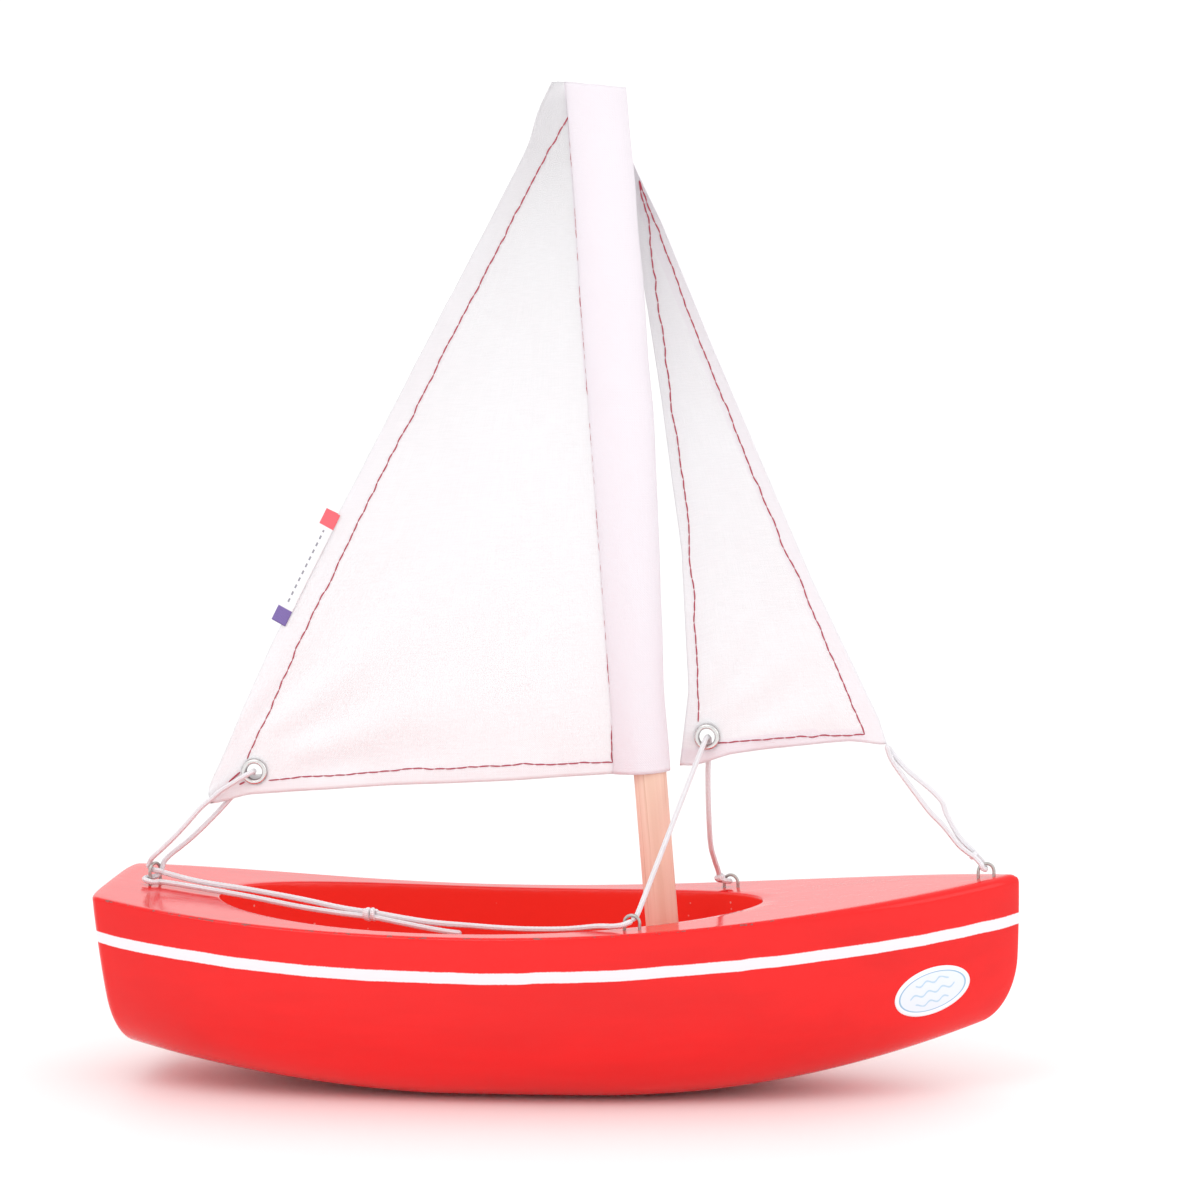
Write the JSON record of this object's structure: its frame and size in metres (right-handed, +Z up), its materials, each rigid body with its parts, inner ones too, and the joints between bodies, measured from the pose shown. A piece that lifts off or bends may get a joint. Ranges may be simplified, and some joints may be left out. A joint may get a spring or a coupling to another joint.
{
  "type": "toy sailing boat",
  "caption": "Toy sailing boat: painted wooden hull with an oval cockpit, raked mast, cotton mainsail and jib, cord sheets through wire staples.",
  "frame": {"origin": "middle of the boat's plan box, at the bottom of the hull", "axes": "+X towards the bow, +Y to port, +Z up the rig"},
  "size_m": [0.2242, 0.076, 0.2438],
  "materials": {
    "red_paint": "gloss red lacquer on wood",
    "mast_wood": "bare sanded",
    "sailcloth": "plain weave cotton",
    "eyelet_metal": "nickel plated",
    "eye_steel": "zinc plated wire",
    "cord_cotton": "braided cotton",
    "ballast_steel": "plain",
    "tag_ribbon": "woven satin",
    "sticker_film": "printed film"
  },
  "bodies": {
    "boat": {"hull": "red_paint", "ballast_plug": "red_paint", "ballast_slug": "ballast_steel", "mast": "mast_wood", "stern_eye": "eye_steel", "bow_eye": "eye_steel", "starboard_eye": "eye_steel", "port_eye": "eye_steel", "bow_sticker": "sticker_film", "sheet_run_near": "cord_cotton", "sheet_run_far": "cord_cotton", "sheet_knot": "cord_cotton", "sheet_tail": "cord_cotton", "sheet_fore_run": "cord_cotton", "clew_sheet": "cord_cotton", "jib_sheet": "cord_cotton", "jib_sheet_knot": "cord_cotton"},
    "main": {"mainsail": "sailcloth", "main_clew_eyelet": "eyelet_metal", "main_clew_washer": "eyelet_metal", "leech_tag": "tag_ribbon"},
    "headsail": {"jib": "sailcloth", "jib_clew_eyelet": "eyelet_metal", "jib_clew_washer": "eyelet_metal", "forestay_near": "cord_cotton", "forestay_far": "cord_cotton", "bow_loop": "cord_cotton", "bow_knot": "cord_cotton"}
  },
  "joints": [
    {"name": "mainsail_swing", "type": "hinge", "parent": "boat", "child": "main", "pos_m": [0.0261, 0, 0.026], "axis": [-0.0811, 0, 0.9967], "range_deg": [-20, 20], "deforming": ["clew_sheet"]},
    {"name": "jib_swing", "type": "hinge", "parent": "boat", "child": "headsail", "pos_m": [0.1037, 0, 0.0553], "axis": [-0.4522, 0.0404, 0.891], "range_deg": [-20, 20], "deforming": ["jib_sheet", "bow_loop"]}
  ]
}
